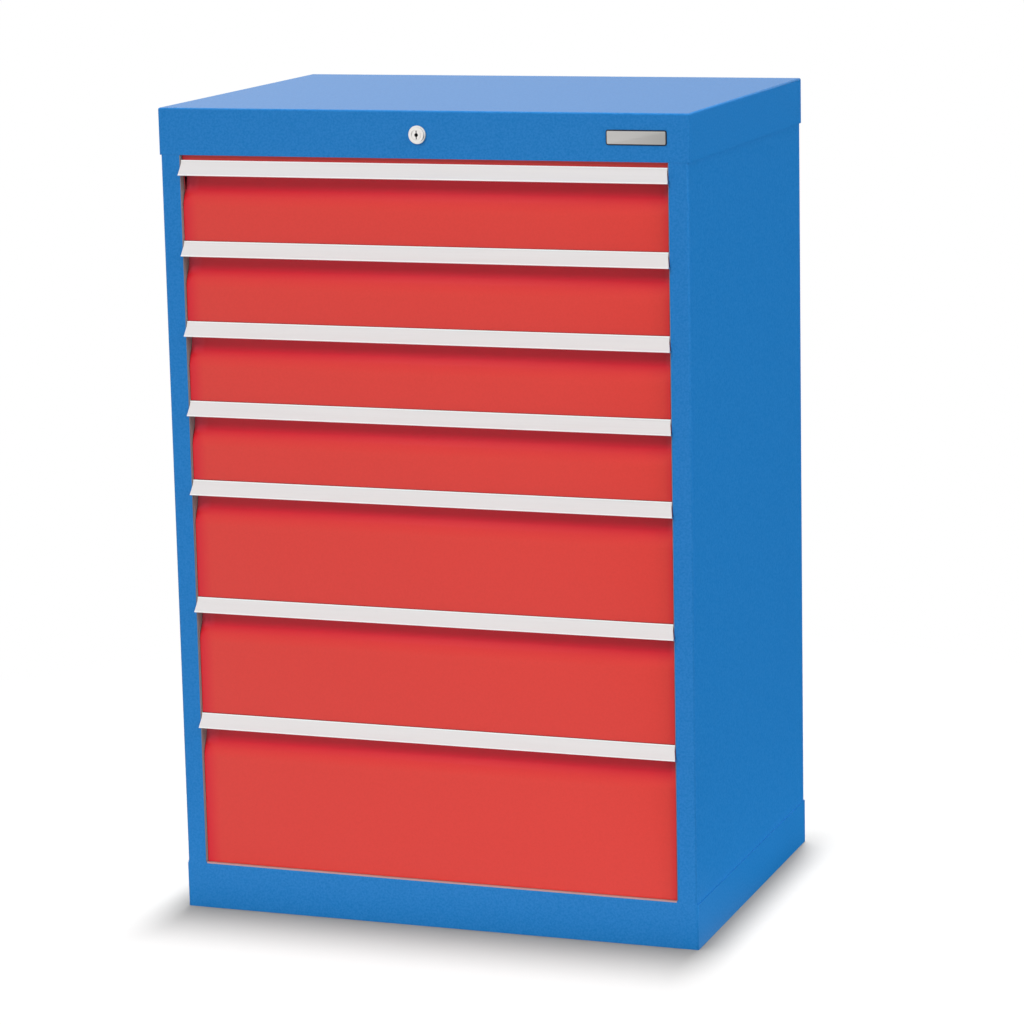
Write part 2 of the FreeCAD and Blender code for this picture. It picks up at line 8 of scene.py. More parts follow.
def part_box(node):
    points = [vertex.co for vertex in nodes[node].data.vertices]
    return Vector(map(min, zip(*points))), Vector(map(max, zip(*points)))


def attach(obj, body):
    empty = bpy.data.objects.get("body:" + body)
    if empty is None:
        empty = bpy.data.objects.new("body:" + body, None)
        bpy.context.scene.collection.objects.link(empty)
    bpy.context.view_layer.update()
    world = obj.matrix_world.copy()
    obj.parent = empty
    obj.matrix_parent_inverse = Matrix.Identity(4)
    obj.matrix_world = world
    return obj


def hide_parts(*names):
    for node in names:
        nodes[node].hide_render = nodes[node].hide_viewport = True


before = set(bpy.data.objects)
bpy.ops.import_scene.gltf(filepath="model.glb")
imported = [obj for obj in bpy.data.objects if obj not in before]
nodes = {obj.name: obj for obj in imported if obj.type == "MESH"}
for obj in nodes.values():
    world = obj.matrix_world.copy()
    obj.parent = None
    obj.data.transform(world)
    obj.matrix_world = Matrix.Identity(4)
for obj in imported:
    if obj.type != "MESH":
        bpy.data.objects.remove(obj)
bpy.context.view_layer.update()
MM = 0.001


# Housing: hood, side panels, plinth, back and bottom. Folded and welded steel sheet, degreased and
# powder coated in one blue. The coat levels out to a fine grain, called orange peel, and rounds
# every edge a little. On the upright folds it is darkened with painted shade.
def linear(hex_colour):
    """An sRGB hex colour as linear RGBA."""
    channels = [int(hex_colour[i:i + 2], 16) / 255 for i in (1, 3, 5)]
    return [c / 12.92 if c <= 0.04045 else ((c + 0.055) / 1.055) ** 2.4 for c in channels] + [1]


def new_material(name):
    material = bpy.data.materials.new(name)
    material.use_nodes = True
    material.node_tree.nodes.clear()
    return material


def add(material, kind, settings, links):
    """A node of that kind with its settings, each named input linked to an output."""
    new = material.node_tree.nodes.new("ShaderNode" + kind)
    for name, value in settings.items():
        if isinstance(name, int) or name in new.inputs:
            new.inputs[name].default_value = value
        else:
            setattr(new, name, value)
    for name, output in links.items():
        material.node_tree.links.new(output, new.inputs[name])
    return new


FOLD_SHADE_COLOUR = "#0a1c2c"


def powder_coat(name, colour, shade, peel, depth, roughness, specular, fold_shade=0.0):
    """Powder coat, or a surface as finely grained, with a peel of that size and depth in metres,
    mottled towards a shade. On upright folds it darkens the colour with painted shade, by the share
    given as the last argument.
    Returns the material, the place that it works with, its tint node and its shader node."""
    material = new_material(name)
    surface = add(material, "TexCoord", {}, {})
    place = surface.outputs["Object"]
    grain = add(
        material, "TexNoise", {"Scale": 1 / peel, "Detail": 3.0, "Roughness": 0.6},
        {"Vector": place},
    )
    mottle = add(
        material, "MapRange", {"From Min": 0.3, "From Max": 0.62}, {"Value": grain.outputs["Fac"]}
    )
    mottled = add(
        material, "Mix", {"data_type": "RGBA", 6: linear(shade), 7: linear(colour)},
        {0: mottle.outputs["Result"]},
    )
    # Painted shade on upright folds, where the normal turns sideways.
    facing = add(material, "SeparateXYZ", {}, {"Vector": surface.outputs["Normal"]})
    turned = add(
        material, "Math", {"operation": "MULTIPLY"},
        {0: facing.outputs["X"], 1: facing.outputs["Y"]},
    )
    sideways = add(material, "Math", {"operation": "ABSOLUTE"}, {0: turned.outputs[0]})
    fold_shaded = add(
        material, "MapRange", {"From Min": 0.05, "From Max": 0.45, "To Max": fold_shade},
        {"Value": sideways.outputs[0]},
    )
    tint = add(
        material, "Mix", {"data_type": "RGBA", 7: linear(FOLD_SHADE_COLOUR)},
        {0: fold_shaded.outputs["Result"], 6: mottled.outputs[2]},
    )
    bump = add(
        material, "Bump", {"Strength": 0.35, "Distance": depth}, {"Height": grain.outputs["Fac"]}
    )
    shine = add(
        material, "BsdfPrincipled", {"Roughness": roughness, "Specular IOR Level": specular},
        {"Base Color": tint.outputs[2], "Normal": bump.outputs["Normal"]},
    )
    add(material, "OutputMaterial", {}, {"Surface": shine.outputs["BSDF"]})
    return material, place, tint, shine


SAME_CORNER = 0.01 * MM


def dress(name, material, edge):
    """Gives a CAD node its material and rounds its sharp edges by a small radius."""
    node = nodes[name]
    node.data.materials.clear()
    node.data.materials.append(material)
    weld = node.modifiers.new("weld", "WELD")
    weld.merge_threshold = SAME_CORNER
    soften = node.modifiers.new("edges", "BEVEL")
    soften.width = edge
    soften.segments = 2
    soften.limit_method = "ANGLE"
    soften.angle_limit = math.radians(40)
    soften.harden_normals = False


COATED_EDGE = 0.35 * MM
# The last value is the share of painted shade on the upright folds.
BLUE_POWDER = ("#257ac0", "#1371b7", 2.6 * MM, 0.03 * MM, 0.25, 0.16, 0.12)
blue_coat = powder_coat("blue_powder_coat", *BLUE_POWDER)[0]
for name in (
    "top_cap", "left_side_panel", "right_side_panel", "base_plinth", "bottom_panel", "back_panel",
    "left_runner_posts", "right_runner_posts",
):
    dress(name, blue_coat, COATED_EDGE)


# Edges of the opening: the housing is masked there before it is coated, so that drawers and
# handles never rub on paint. The sill's top and the pillars' inner edges are bare steel, and the
# pillars' returns keep their matt grey primer.
CLOUDS_PER_METRE = 60.0  # each about 17 mm across


def cloudy_metal(name, colour, roughness):
    """Bare or plated metal, with clouds of more and less shine."""
    material = new_material(name)
    place = add(material, "TexCoord", {}, {}).outputs["Object"]
    cloud = add(
        material, "TexNoise", {"Scale": CLOUDS_PER_METRE, "Detail": 4.0, "Roughness": 0.7},
        {"Vector": place},
    )
    shine = add(
        material, "MapRange", {"To Min": roughness - 0.1, "To Max": roughness + 0.1},
        {"Value": cloud.outputs["Fac"]},
    )
    metal = add(
        material, "BsdfPrincipled", {"Base Color": linear(colour), "Metallic": 1.0},
        {"Roughness": shine.outputs["Result"]},
    )
    add(material, "OutputMaterial", {}, {"Surface": metal.outputs["BSDF"]})
    return material


HALF_OPENING = 313 * MM
OPENING_BOTTOM = 60 * MM
PILLAR_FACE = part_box("left_side_panel")[0][1]
BARE_SILL = 1.8 * MM
BARE_PILLAR = 1.3 * MM
PILLAR_RETURN = 14.5 * MM
bare_steel = cloudy_metal("bare_steel_sheet", "#9c9492", 0.5)
primer = powder_coat(
    "matt_grey_primer", "#989c9b", "#8c908f", 1.5 * MM, 0.01 * MM, 0.6, 0.3
)[0]
for name in ("left_side_panel", "right_side_panel"):
    sheet = nodes[name].data
    sheet.materials.append(bare_steel)
    sheet.materials.append(primer)
    for face in sheet.polygons:
        at = face.center
        if abs(at.x) < HALF_OPENING + BARE_PILLAR and at.y < PILLAR_FACE + PILLAR_RETURN:
            faces_the_drawers = face.normal.x * math.copysign(1, at.x) < -0.9
            face.material_index = 2 if faces_the_drawers else 1

# The plinth's top fold runs on under the pillars, where it is coated. It is bare only between them
# and dull, with the red front's reflection above it painted pink into its colour.
sill_coat, spot, _, sill_shine = powder_coat("blue_powder_coat_bare_at_the_sill", *BLUE_POWDER)
axes = add(sill_coat, "SeparateXYZ", {}, {"Vector": spot})
to_middle = add(sill_coat, "Math", {"operation": "ABSOLUTE"}, {0: axes.outputs["X"]})
between = add(
    sill_coat, "Math", {"operation": "LESS_THAN", 1: HALF_OPENING}, {0: to_middle.outputs[0]}
)
high_up = add(
    sill_coat, "Math", {"operation": "GREATER_THAN", 1: OPENING_BOTTOM - BARE_SILL},
    {0: axes.outputs["Z"]},
)
masked = add(
    sill_coat, "Math", {"operation": "MULTIPLY"}, {0: between.outputs[0], 1: high_up.outputs[0]}
)
# The pink base colour is a painted reflection of the red front.
bare_sill_with_painted_red = add(
    sill_coat, "BsdfPrincipled",
    {"Base Color": linear("#bf9794"), "Metallic": 0.3, "Roughness": 0.6}, {},
)
sill_surface = add(
    sill_coat, "MixShader", {},
    {0: masked.outputs[0], 1: sill_shine.outputs["BSDF"], 2: bare_sill_with_painted_red.outputs["BSDF"]},
)
sill_output = next(node for node in sill_coat.node_tree.nodes if node.type == "OUTPUT_MATERIAL")
sill_coat.node_tree.links.new(sill_surface.outputs["Shader"], sill_output.inputs["Surface"])
nodes["base_plinth"].data.materials[0] = sill_coat


# Drawer fronts: folded from 1.2 mm sheet with a grip recess behind the handle and closed ends. The
# folds of the recess are soft, the others tight. The red powder coat gets painted shade: a deeper
# red in the recess, where the red lights itself, and towards the sides, more on the left, where the
# pillars keep light away. A paler, duller red is painted into the shaded ends of the recess.
SHEET = 1.2 * MM
FRONT_FACE = PILLAR_FACE + 3 * MM
RECESS_FACE = FRONT_FACE + 10.5 * MM
TRAY_FACE = RECESS_FACE + SHEET
HALF_FRONT = 312.6 * MM
RECESS_HEIGHT = 31 * MM
SLOPE_HEIGHT = 19 * MM
SOFT_FOLD = 8 * MM
TIGHT_FOLD = 0.5 * MM
FINE_EDGE = 0.35 * MM
LEDGE_DROP = 1.6 * MM
BROW_FACE = PILLAR_FACE + 4.6 * MM
RECESS_DEPTH = RECESS_FACE - FRONT_FACE
# Painted shade over this border at the sides, shifted so that the left side is darker.
SIDE_SHADE_BORDER = 14 * MM
SIDE_SHADE_SHIFT = 5 * MM
RECESS_SHADE_FROM = FRONT_FACE + 0.7 * RECESS_DEPTH
CORNER_PALING_FROM = FRONT_FACE + 0.4 * RECESS_DEPTH
red_coat, spot, red_tint, red_shine = powder_coat(
    "red_powder_coat", "#d93a32", "#d53830", 2.2 * MM, 0.02 * MM, 0.35, 0.4
)
axes = add(red_coat, "SeparateXYZ", {}, {"Vector": spot})
# Painted shade: the red deepens with the depth in the recess.
recess_shade = add(
    red_coat, "MapRange", {"From Min": FRONT_FACE, "From Max": RECESS_SHADE_FROM},
    {"Value": axes.outputs["Y"]},
)
off_middle = add(
    red_coat, "Math", {"operation": "SUBTRACT", 1: SIDE_SHADE_SHIFT}, {0: axes.outputs["X"]}
)
to_middle = add(red_coat, "Math", {"operation": "ABSOLUTE"}, {0: off_middle.outputs[0]})
side_shade = add(
    red_coat, "MapRange",
    {"From Min": HALF_FRONT - SIDE_SHADE_BORDER, "From Max": HALF_FRONT, "To Max": 0.8},
    {"Value": to_middle.outputs[0]},
)
painted_shade = add(
    red_coat, "Math", {"operation": "MAXIMUM"},
    {0: recess_shade.outputs["Result"], 1: side_shade.outputs["Result"]},
)
shaded_red = add(
    red_coat, "Mix", {"data_type": "RGBA", 7: linear("#d5112a")},
    {0: painted_shade.outputs[0], 6: red_tint.outputs[2]},
)
# A paler, duller red painted into the shaded ends of the recess.
paling_depth = add(
    red_coat, "MapRange", {"From Min": CORNER_PALING_FROM, "From Max": RECESS_FACE},
    {"Value": axes.outputs["Y"]},
)
corner_paling = add(
    red_coat, "Math", {"operation": "MULTIPLY"},
    {0: paling_depth.outputs["Result"], 1: side_shade.outputs["Result"]},
)
paled_corner_red = add(
    red_coat, "Mix", {"data_type": "RGBA", 7: linear("#dc5464")},
    {0: corner_paling.outputs[0], 6: shaded_red.outputs[2]},
)
red_coat.node_tree.links.new(paled_corner_red.outputs[2], red_shine.inputs["Base Color"])


def pick(piece, kind, test):
    """In edit mode, selects only the edges or faces whose middle passes the test."""
    bpy.ops.mesh.select_mode(type=kind)
    bpy.ops.mesh.select_all(action="DESELECT")
    shape = bmesh.from_edit_mesh(piece.data)
    for part in {"EDGE": shape.edges, "FACE": shape.faces}[kind]:
        middle = sum((corner.co for corner in part.verts), Vector()) / len(part.verts)
        if test(middle, part):
            part.select_set(True)
    bmesh.update_edit_mesh(piece.data)


SAME_PLACE = 0.02 * MM


def near(a, b):
    return abs(a - b) < SAME_PLACE


def runs_across(edge):
    """True for an edge along X."""
    along = edge.verts[1].co - edge.verts[0].co
    return abs(along.x) > 0.9 * along.length


def pull(x, y, z):
    """Extrudes what is selected by that step."""
    bpy.ops.mesh.extrude_region_move(TRANSFORM_OT_translate={"value": (x, y, z)})


def start(add_primitive, name, **place):
    """A primitive with its place in its mesh, in edit mode."""
    bpy.ops.object.select_all(action="DESELECT")
    add_primitive(**place)
    piece = bpy.context.object
    piece.name = name
    piece.data.name = name
    bpy.ops.object.transform_apply(location=True, rotation=True, scale=True)
    bpy.ops.object.mode_set(mode="EDIT")
    return piece


def finish_piece(piece, material, body, replaced, angle=30):
    """Smooths the folds, gives the material and hands the piece to its body."""
    bpy.ops.object.mode_set(mode="OBJECT")
    bpy.ops.object.shade_smooth_by_angle(angle=math.radians(angle))
    piece.data.materials.append(material)
    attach(piece, body)
    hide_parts(replaced)


def copied(piece, name, drop, body, replaced):
    """A copy with its own mesh, lower by that drop."""
    copy = piece.copy()
    copy.data = piece.data.copy()
    copy.name = name
    copy.data.name = name
    copy.data.transform(Matrix.Translation((0, 0, -drop)))
    bpy.context.scene.collection.objects.link(copy)
    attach(copy, body)
    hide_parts(replaced)
    return copy


def drawer_front(number, bottom, top, handle_top):
    """A front of one sheet from its foot fold up to its top. Where it goes on above the handle,
    as on the top drawer, it comes forward again over the handle."""
    slope_top = handle_top - RECESS_HEIGHT
    slope_bottom = slope_top - SLOPE_HEIGHT
    piece = start(
        bpy.ops.mesh.primitive_plane_add, f"front_sheet_{number}", size=1.0,
        location=(0, FRONT_FACE, (bottom + slope_bottom) / 2), rotation=(math.pi / 2, 0, 0),
    )
    bpy.ops.mesh.select_all(action="SELECT")
    bpy.ops.transform.resize(  # a new plane takes no scale
        value=(2 * HALF_FRONT, 1, slope_bottom - bottom),
        center_override=(0, FRONT_FACE, (bottom + slope_bottom) / 2),
    )
    pick(piece, "EDGE", lambda at, edge: near(at.z, slope_bottom))
    pull(0, RECESS_FACE - FRONT_FACE, SLOPE_HEIGHT)
    ledge = min(top, handle_top - LEDGE_DROP)
    if top > handle_top:
        pull(0, 0, ledge - slope_top)
        pull(0, BROW_FACE - RECESS_FACE, 0)
        pull(0, 0, top - ledge)
    else:
        pull(0, 0, top - slope_top)
    pick(piece, "EDGE", lambda at, edge: near(at.z, bottom))
    pull(0, TRAY_FACE - FRONT_FACE, 0)
    for end in (-HALF_FRONT, HALF_FRONT):
        bpy.ops.mesh.select_mode(type="VERT")
        bpy.ops.mesh.select_all(action="DESELECT")
        shape = bmesh.from_edit_mesh(piece.data)
        for corner in shape.verts:
            at_top = near(corner.co.z, top)
            at_back = near(corner.co.y, TRAY_FACE) and near(corner.co.z, bottom)
            if near(corner.co.x, end) and (at_top or at_back):
                corner.select_set(True)
        bmesh.update_edit_mesh(piece.data)
        bpy.ops.mesh.edge_face_add()
        pick(piece, "EDGE", lambda at, edge: near(at.x, end))
        bpy.ops.mesh.edge_face_add()
    pick(piece, "EDGE", lambda at, edge: runs_across(edge)
         and (near(at.z, slope_top) or near(at.z, slope_bottom)))
    bpy.ops.mesh.bevel(offset=SOFT_FOLD, segments=10)
    pick(piece, "EDGE", lambda at, edge: runs_across(edge)
         and near(at.z, bottom) and near(at.y, FRONT_FACE))
    bpy.ops.mesh.bevel(offset=TIGHT_FOLD, segments=5)
    pick(piece, "EDGE", lambda at, edge: near(abs(at.x), HALF_FRONT) and len(edge.link_faces) == 2
         and not runs_across(edge))
    bpy.ops.mesh.bevel(offset=FINE_EDGE, segments=2)
    bpy.ops.mesh.select_all(action="SELECT")
    bpy.ops.mesh.normals_make_consistent(inside=False)
    bpy.ops.object.mode_set(mode="OBJECT")
    sheet = piece.modifiers.new("sheet", "SOLIDIFY")
    sheet.thickness = SHEET
    sheet.offset = -1  # inwards
    sheet.use_even_offset = True
    bpy.ops.object.modifier_apply(modifier="sheet")
    finish_piece(
        piece, red_coat, f"drawer_{number}", f"drawer_{number}_front"
    )
    return piece


OPENING_TOP = 962 * MM
PLAY = 1 * MM
GAP = 0.15 * MM
HANDLE_DROP = 5 * MM
DRAWER_HEIGHTS = [100 * MM] * 4 + [150 * MM] * 2 + [200 * MM]
drawers = range(1, len(DRAWER_HEIGHTS) + 1)
drawer_tops = [OPENING_TOP - PLAY - sum(DRAWER_HEIGHTS[:number - 1]) for number in drawers]
modelled = {}
for number in drawers:
    top = drawer_tops[number - 1] - HANDLE_DROP
    height = DRAWER_HEIGHTS[number - 1]
    bottom = top - height + GAP
    if number in (3, 4, 6):  # 3 and 4 are like 2, and 6 is like 5
        original = 2 if number < 5 else 5
        drop = drawer_tops[original - 1] - drawer_tops[number - 1]
        copied(
            modelled[original], f"front_sheet_{number}", drop, f"drawer_{number}",
            f"drawer_{number}_front",
        )
        continue
    modelled[number] = drawer_front(
        number,
        OPENING_BOTTOM + GAP if number == 7 else bottom,
        OPENING_TOP - GAP if number == 1 else top,
        top,
    )


# Handles: extruded aluminium grip strips, cut to length and matt silver anodised. Extruding leaves
# faint lines along them. The strip leans out at its lower edge, a lip turns back in under it, and
# a web at the back ends in a foot on the drawer front.
LINES_PER_METRE = 1100.0  # 0.9 mm apart, as coarse as they need to be to show
STREAKS_PER_METRE = 6.0


def anodised(name, colour, roughness):
    """Anodised aluminium with faint lines along X."""
    material = new_material(name)
    place = add(material, "TexCoord", {}, {}).outputs["Object"]
    along = add(
        material, "Mapping", {"Scale": (STREAKS_PER_METRE, LINES_PER_METRE, LINES_PER_METRE)},
        {"Vector": place},
    )
    lines = add(
        material, "TexNoise", {"Scale": 1.0, "Detail": 2.0}, {"Vector": along.outputs["Vector"]}
    )
    shine = add(
        material, "MapRange",
        {"From Min": 0.3, "From Max": 0.7, "To Min": roughness - 0.05, "To Max": roughness + 0.05},
        {"Value": lines.outputs["Fac"]},
    )
    bump = add(
        material, "Bump", {"Strength": 0.15, "Distance": 0.02 * MM},
        {"Height": lines.outputs["Fac"]},
    )
    metal = add(
        material, "BsdfPrincipled", {"Base Color": linear(colour), "Metallic": 1.0},
        {"Roughness": shine.outputs["Result"], "Normal": bump.outputs["Normal"]},
    )
    add(material, "OutputMaterial", {}, {"Surface": metal.outputs["BSDF"]})
    return material


silver = anodised("anodised_aluminium", "#eeebeb", 0.5)
# The rims get a lighter metal as a painted highlight along the strip's edges.
rim_highlight = anodised("aluminium_rim_painted_highlight", "#fafafa", 0.4)
HALF_HANDLE = 312.8 * MM
WALL = 1.6 * MM
STRIP_HEIGHT = 18.4 * MM
STRIP_SETBACK = 2 * MM
STRIP_REACH = 6 * MM
STRIP_RIM = 1.6 * MM
RIM_RISE = 0.4 * MM
LIP = 4.5 * MM
WEB_DROP = 4.5 * MM
FOOT = 10 * MM
FLARE = 2 * MM
LOWER_ROUND = 0.7 * MM
FINE_ROUND = 0.2 * MM
DOUBLED_CORNER = 0.002 * MM  # where rounds of two edges meet on a rim
SHARP = 0.5  # radians between two faces
lean = math.atan2(STRIP_SETBACK + STRIP_REACH, STRIP_HEIGHT)
strip_length = math.hypot(STRIP_SETBACK + STRIP_REACH, STRIP_HEIGHT)
handle_top = drawer_tops[0] - HANDLE_DROP
strip_front = PILLAR_FACE + STRIP_SETBACK
strip_back = strip_front + RIM_RISE + WALL
handle = start(
    bpy.ops.mesh.primitive_cube_add, "grip_strip_1", size=1.0,
    location=(0, strip_front + RIM_RISE + WALL / 2, handle_top - strip_length / 2),
    scale=(2 * HALF_HANDLE, WALL, strip_length),
)
for height in (
    handle_top - STRIP_RIM, handle_top - strip_length + STRIP_RIM,
    handle_top - WEB_DROP / math.cos(lean), handle_top - (WEB_DROP + WALL) / math.cos(lean),
    handle_top - strip_length + WALL,
):
    bpy.ops.mesh.select_all(action="SELECT")
    bpy.ops.mesh.bisect(plane_co=(0, 0, height), plane_no=(0, 0, 1))
bpy.ops.mesh.select_mode(type="VERT")
bpy.ops.mesh.select_all(action="DESELECT")
ends = bmesh.from_edit_mesh(handle.data)
for corner in ends.verts:
    if near(abs(corner.co.x), HALF_HANDLE) and corner.co.z < handle_top - 0.9 * strip_length:
        corner.select_set(True)
bmesh.update_edit_mesh(handle.data)
bpy.ops.transform.resize(
    value=(1 + FLARE / HALF_HANDLE, 1, 1), center_override=(0, strip_front, handle_top)
)
pick(handle, "FACE", lambda at, face: near(at.y, strip_front + RIM_RISE)
     and (at.z > handle_top - STRIP_RIM or at.z < handle_top - strip_length + STRIP_RIM))
pull(0, -RIM_RISE, 0)
bpy.ops.mesh.select_all(action="SELECT")
bpy.ops.transform.rotate(
    value=lean, orient_axis="X", center_override=(0, strip_front, handle_top),
)
pick(handle, "FACE", lambda at, face: face.normal.y > 0.5
     and at.z < handle_top - STRIP_HEIGHT + WALL)
pull(0, LIP - WALL, 0)
pick(handle, "FACE", lambda at, face: face.normal.y > 0.5
     and handle_top - WEB_DROP - 1.2 * WALL < at.z < handle_top - WEB_DROP + 0.2 * WALL)
pull(0, RECESS_FACE - WALL - strip_back + math.tan(lean) * WEB_DROP, 0)
pull(0, WALL, 0)
pick(handle, "FACE", lambda at, face: face.normal.z < -0.9 and at.y > RECESS_FACE - WALL
     and at.z > handle_top - 2 * WEB_DROP)
pull(0, 0, WALL - FOOT)
pick(handle, "EDGE", lambda at, edge: runs_across(edge) and at.y < strip_front - STRIP_REACH
     + RIM_RISE and at.z < handle_top - STRIP_HEIGHT + RIM_RISE)
bpy.ops.mesh.bevel(offset=LOWER_ROUND, segments=4)
pick(handle, "EDGE", lambda at, edge: runs_across(edge) and edge.calc_face_angle(0) > SHARP)
bpy.ops.mesh.bevel(offset=FINE_ROUND, segments=2)
bpy.ops.mesh.select_all(action="SELECT")
bpy.ops.mesh.remove_doubles(threshold=DOUBLED_CORNER)
finish_piece(handle, silver, "drawer_1", "drawer_1_handle", angle=24)
# Painted highlight: the strip's front rims take the lighter metal.
handle.data.materials.append(rim_highlight)
lower_rim = handle_top - STRIP_HEIGHT + math.cos(lean) * STRIP_RIM
for face in handle.data.polygons:
    on_strip_front = face.normal.y < -0.5 or near(face.center.z, handle_top)
    on_rim = face.center.z > handle_top - STRIP_RIM or face.center.z < lower_rim
    if on_strip_front and on_rim:
        face.material_index = 1
for number in drawers[1:]:
    drop = drawer_tops[0] - drawer_tops[number - 1]
    copied(
        handle, f"grip_strip_{number}", drop, f"drawer_{number}",
        f"drawer_{number}_handle",
    )


# Trays: folded from 1 mm steel sheet, with slots for dividers in both side walls, and powder coated
# in a light grey with a satin shine. The front is welded on, and the channels are riveted on.
TRAY_EDGE = 0.15 * MM
grey_coat = powder_coat(
    "light_grey_powder_coat", "#c4c7c9", "#bcbfc1", 1.8 * MM, 0.02 * MM, 0.5, 0.4
)[0]
for number in drawers:
    dress(f"drawer_{number}_tray", grey_coat, TRAY_EDGE)


# Slides, lock works and guides: zinc plated and passivated steel, cloudy where the bath ran off.
# The rollers are turned from bar and ground, and shine more.
PLATED_EDGE = 0.2 * MM
ROLLER_EDGE = 0.5 * MM
zinc = cloudy_metal("zinc_plated_steel", "#c2c5ca", 0.45)
ground_steel = cloudy_metal("ground_roller_steel", "#cfcfd1", 0.25)
for name in (
    "cabinet_runners", "lock_bar", "lock_bar_guides", "lock_crank", "lock_shaft", "lock_nut",
):
    dress(name, zinc, PLATED_EDGE)
for number in drawers:
    dress(f"drawer_{number}_runners", zinc, PLATED_EDGE)
    dress(f"roller_cages_{number}", zinc, PLATED_EDGE)
    dress(f"rollers_{number}", ground_steel, ROLLER_EDGE)


# Lock: rose, nose and barrel turned from one brass bar, the plug turned and slotted for the key.
# Both are nickel plated and satin polished. The keyway's inside is painted black as shade.
nickel = cloudy_metal("nickel_plated_brass", "#f2efeb", 0.3)
# Black painted into the keyway as its shade.
keyway_shade = powder_coat(
    "keyway_painted_black_shade", "#101012", "#0a0a0c", 1.0 * MM, 0.01 * MM, 0.6, 0.2
)[0]
LOCK_AXIS = OPENING_TOP + 29 * MM
ROSE_RADIUS = 11.2 * MM
ROSE_THICK = 2 * MM
NOSE_RADIUS = 9.5 * MM
NOSE_LENGTH = 2.6 * MM
PLUG_RADIUS = 6 * MM
PLUG_BORE = 6.06 * MM
PLUG_SUNK = 0.4 * MM
BARREL_LENGTH = 24 * MM
PLUG_BACK = PILLAR_FACE + 27 * MM
KEY_DEPTH = 6 * MM
KEY_HOLE_RADIUS = 2.3 * MM
KEY_SLIT_WIDTH = 1.2 * MM
KEY_SLIT_LENGTH = 10.4 * MM
ROSE_ROUND = 0.8 * MM
NOSE_ROUND = 0.5 * MM
PLUG_ROUND = 0.3 * MM
BARREL_FLOOR = 0.5 * MM
rose_front = PILLAR_FACE - ROSE_THICK
rose = start(
    bpy.ops.mesh.primitive_cylinder_add, "lock_rose_and_barrel", vertices=96, radius=ROSE_RADIUS,
    depth=ROSE_THICK, location=(0, PILLAR_FACE - ROSE_THICK / 2, LOCK_AXIS),
    rotation=(math.pi / 2, 0, 0),
)
pick(rose, "EDGE", lambda at, edge: near(at.y, rose_front) and len(edge.link_faces) == 2)
bpy.ops.mesh.bevel(offset=ROSE_ROUND, segments=4)
pick(rose, "FACE", lambda at, face: face.normal.y < -0.9 and near(at.y, rose_front)
     and len(face.verts) > 8)
bpy.ops.mesh.inset(thickness=ROSE_RADIUS - ROSE_ROUND - NOSE_RADIUS)
pull(0, -NOSE_LENGTH, 0)
bpy.ops.mesh.inset(thickness=NOSE_RADIUS - PLUG_BORE)
pull(0, BARREL_LENGTH + ROSE_THICK + NOSE_LENGTH - BARREL_FLOOR, 0)
pick(rose, "FACE", lambda at, face: face.normal.y > 0.9 and near(at.y, PILLAR_FACE)
     and len(face.verts) > 8)
bpy.ops.mesh.inset(thickness=ROSE_RADIUS - NOSE_RADIUS)
pull(0, BARREL_LENGTH, 0)
pick(rose, "EDGE", lambda at, edge: near(at.y, rose_front - NOSE_LENGTH)
     and len(edge.link_faces) == 2 and edge.calc_face_angle(0) > SHARP)
bpy.ops.mesh.bevel(offset=NOSE_ROUND, segments=3)
finish_piece(rose, nickel, "housing", "lock_barrel")

plug_front = rose_front - NOSE_LENGTH + PLUG_SUNK
plug = start(
    bpy.ops.mesh.primitive_cylinder_add, "lock_plug_face", vertices=64, radius=PLUG_RADIUS,
    depth=PLUG_BACK - plug_front, location=(0, (plug_front + PLUG_BACK) / 2, LOCK_AXIS),
    rotation=(math.pi / 2, 0, 0),
)
pick(plug, "EDGE", lambda at, edge: near(at.y, plug_front) and len(edge.link_faces) == 2)
bpy.ops.mesh.bevel(offset=PLUG_ROUND, segments=2)
bpy.ops.object.mode_set(mode="OBJECT")
plug.data.materials.append(nickel)
plug.data.materials.append(keyway_shade)
key_hole = start(
    bpy.ops.mesh.primitive_cylinder_add, "key_hole", vertices=32, radius=KEY_HOLE_RADIUS,
    depth=2 * KEY_DEPTH, location=(0, plug_front, LOCK_AXIS), rotation=(math.pi / 2, 0, 0),
)
bpy.ops.object.mode_set(mode="OBJECT")
key_slit = start(
    bpy.ops.mesh.primitive_cube_add, "key_slit", size=1.0, location=(0, plug_front, LOCK_AXIS),
    scale=(KEY_SLIT_WIDTH, 2 * KEY_DEPTH, KEY_SLIT_LENGTH),
)
bpy.ops.object.mode_set(mode="OBJECT")
for cutter in (key_hole, key_slit):
    cutter.data.materials.append(keyway_shade)
    bpy.ops.object.select_all(action="DESELECT")
    bpy.context.view_layer.objects.active = plug
    plug.select_set(True)
    milled = plug.modifiers.new("milled", "BOOLEAN")
    milled.object = cutter
    milled.operation = "DIFFERENCE"
    milled.solver = "EXACT"
    milled.material_mode = "TRANSFER"
    bpy.ops.object.modifier_apply(modifier="milled")
    bpy.data.objects.remove(cutter)
bpy.ops.object.shade_smooth_by_angle(angle=math.radians(30))
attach(plug, "lock_cylinder")
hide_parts("lock_plug")


# Plate on the fascia: a bare plate of aluminium with rounded corners, brushed lengthwise into fine
# lines, set in a rim and glued on. The rim is painted dark as the shadow of the gap round the
# plate.
plate_metal = anodised("brushed_aluminium", "#c8c6c3", 0.45)
